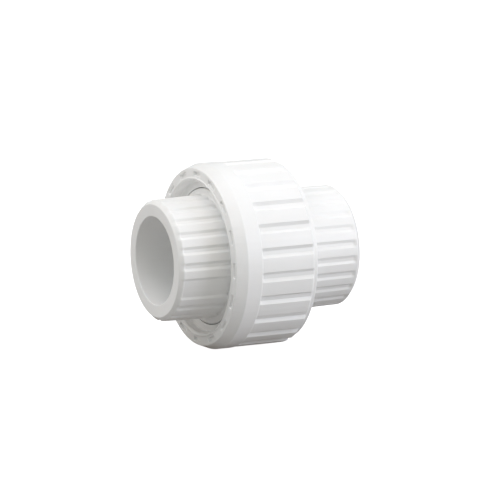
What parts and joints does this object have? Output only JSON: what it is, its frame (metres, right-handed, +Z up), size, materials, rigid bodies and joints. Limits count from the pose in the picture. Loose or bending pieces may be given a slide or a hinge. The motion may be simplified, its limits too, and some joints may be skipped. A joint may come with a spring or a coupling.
{
  "type": "pipe union",
  "caption": "Socket-ended plastic pipe union: a ribbed nut turns on a threaded end and pulls a flanged tailpiece onto its sealing ring.",
  "frame": {"origin": "on the union's axis, half way between the two hub end faces, with the nut closed", "axes": "+X along the axis, from the tailpiece to the threaded end; +Z up, as the union lies on its nut"},
  "size_m": [0.0608, 0.0564, 0.0564],
  "materials": {
    "tailpiece_pvc": "white moulded PVC, satin gloss",
    "threaded_end_pvc": "white moulded PVC, satin gloss",
    "union_nut_pvc": "white moulded PVC, satin gloss",
    "o_ring_rubber": "black EPDM, matt"
  },
  "bodies": {
    "root": {"threaded_end": "threaded_end_pvc", "o_ring": "o_ring_rubber"},
    "tailpiece": {"tailpiece": "tailpiece_pvc"},
    "nut": {"union_nut": "union_nut_pvc"}
  },
  "joints": [
    {"name": "tailpiece_slide", "type": "slide", "parent": "root", "child": "tailpiece", "axis": [-1, 0, 0], "range_m": [0, 0.0108]},
    {"name": "nut_turn", "type": "hinge", "parent": "tailpiece", "child": "nut", "pos_m": [0, 0, 0], "axis": [-1, 0, 0], "range_deg": [0, 1080]}
  ],
  "couplings": [
    {"joint": "tailpiece_slide", "follows": "nut_turn", "m_per_rad": 0.00057295}
  ]
}
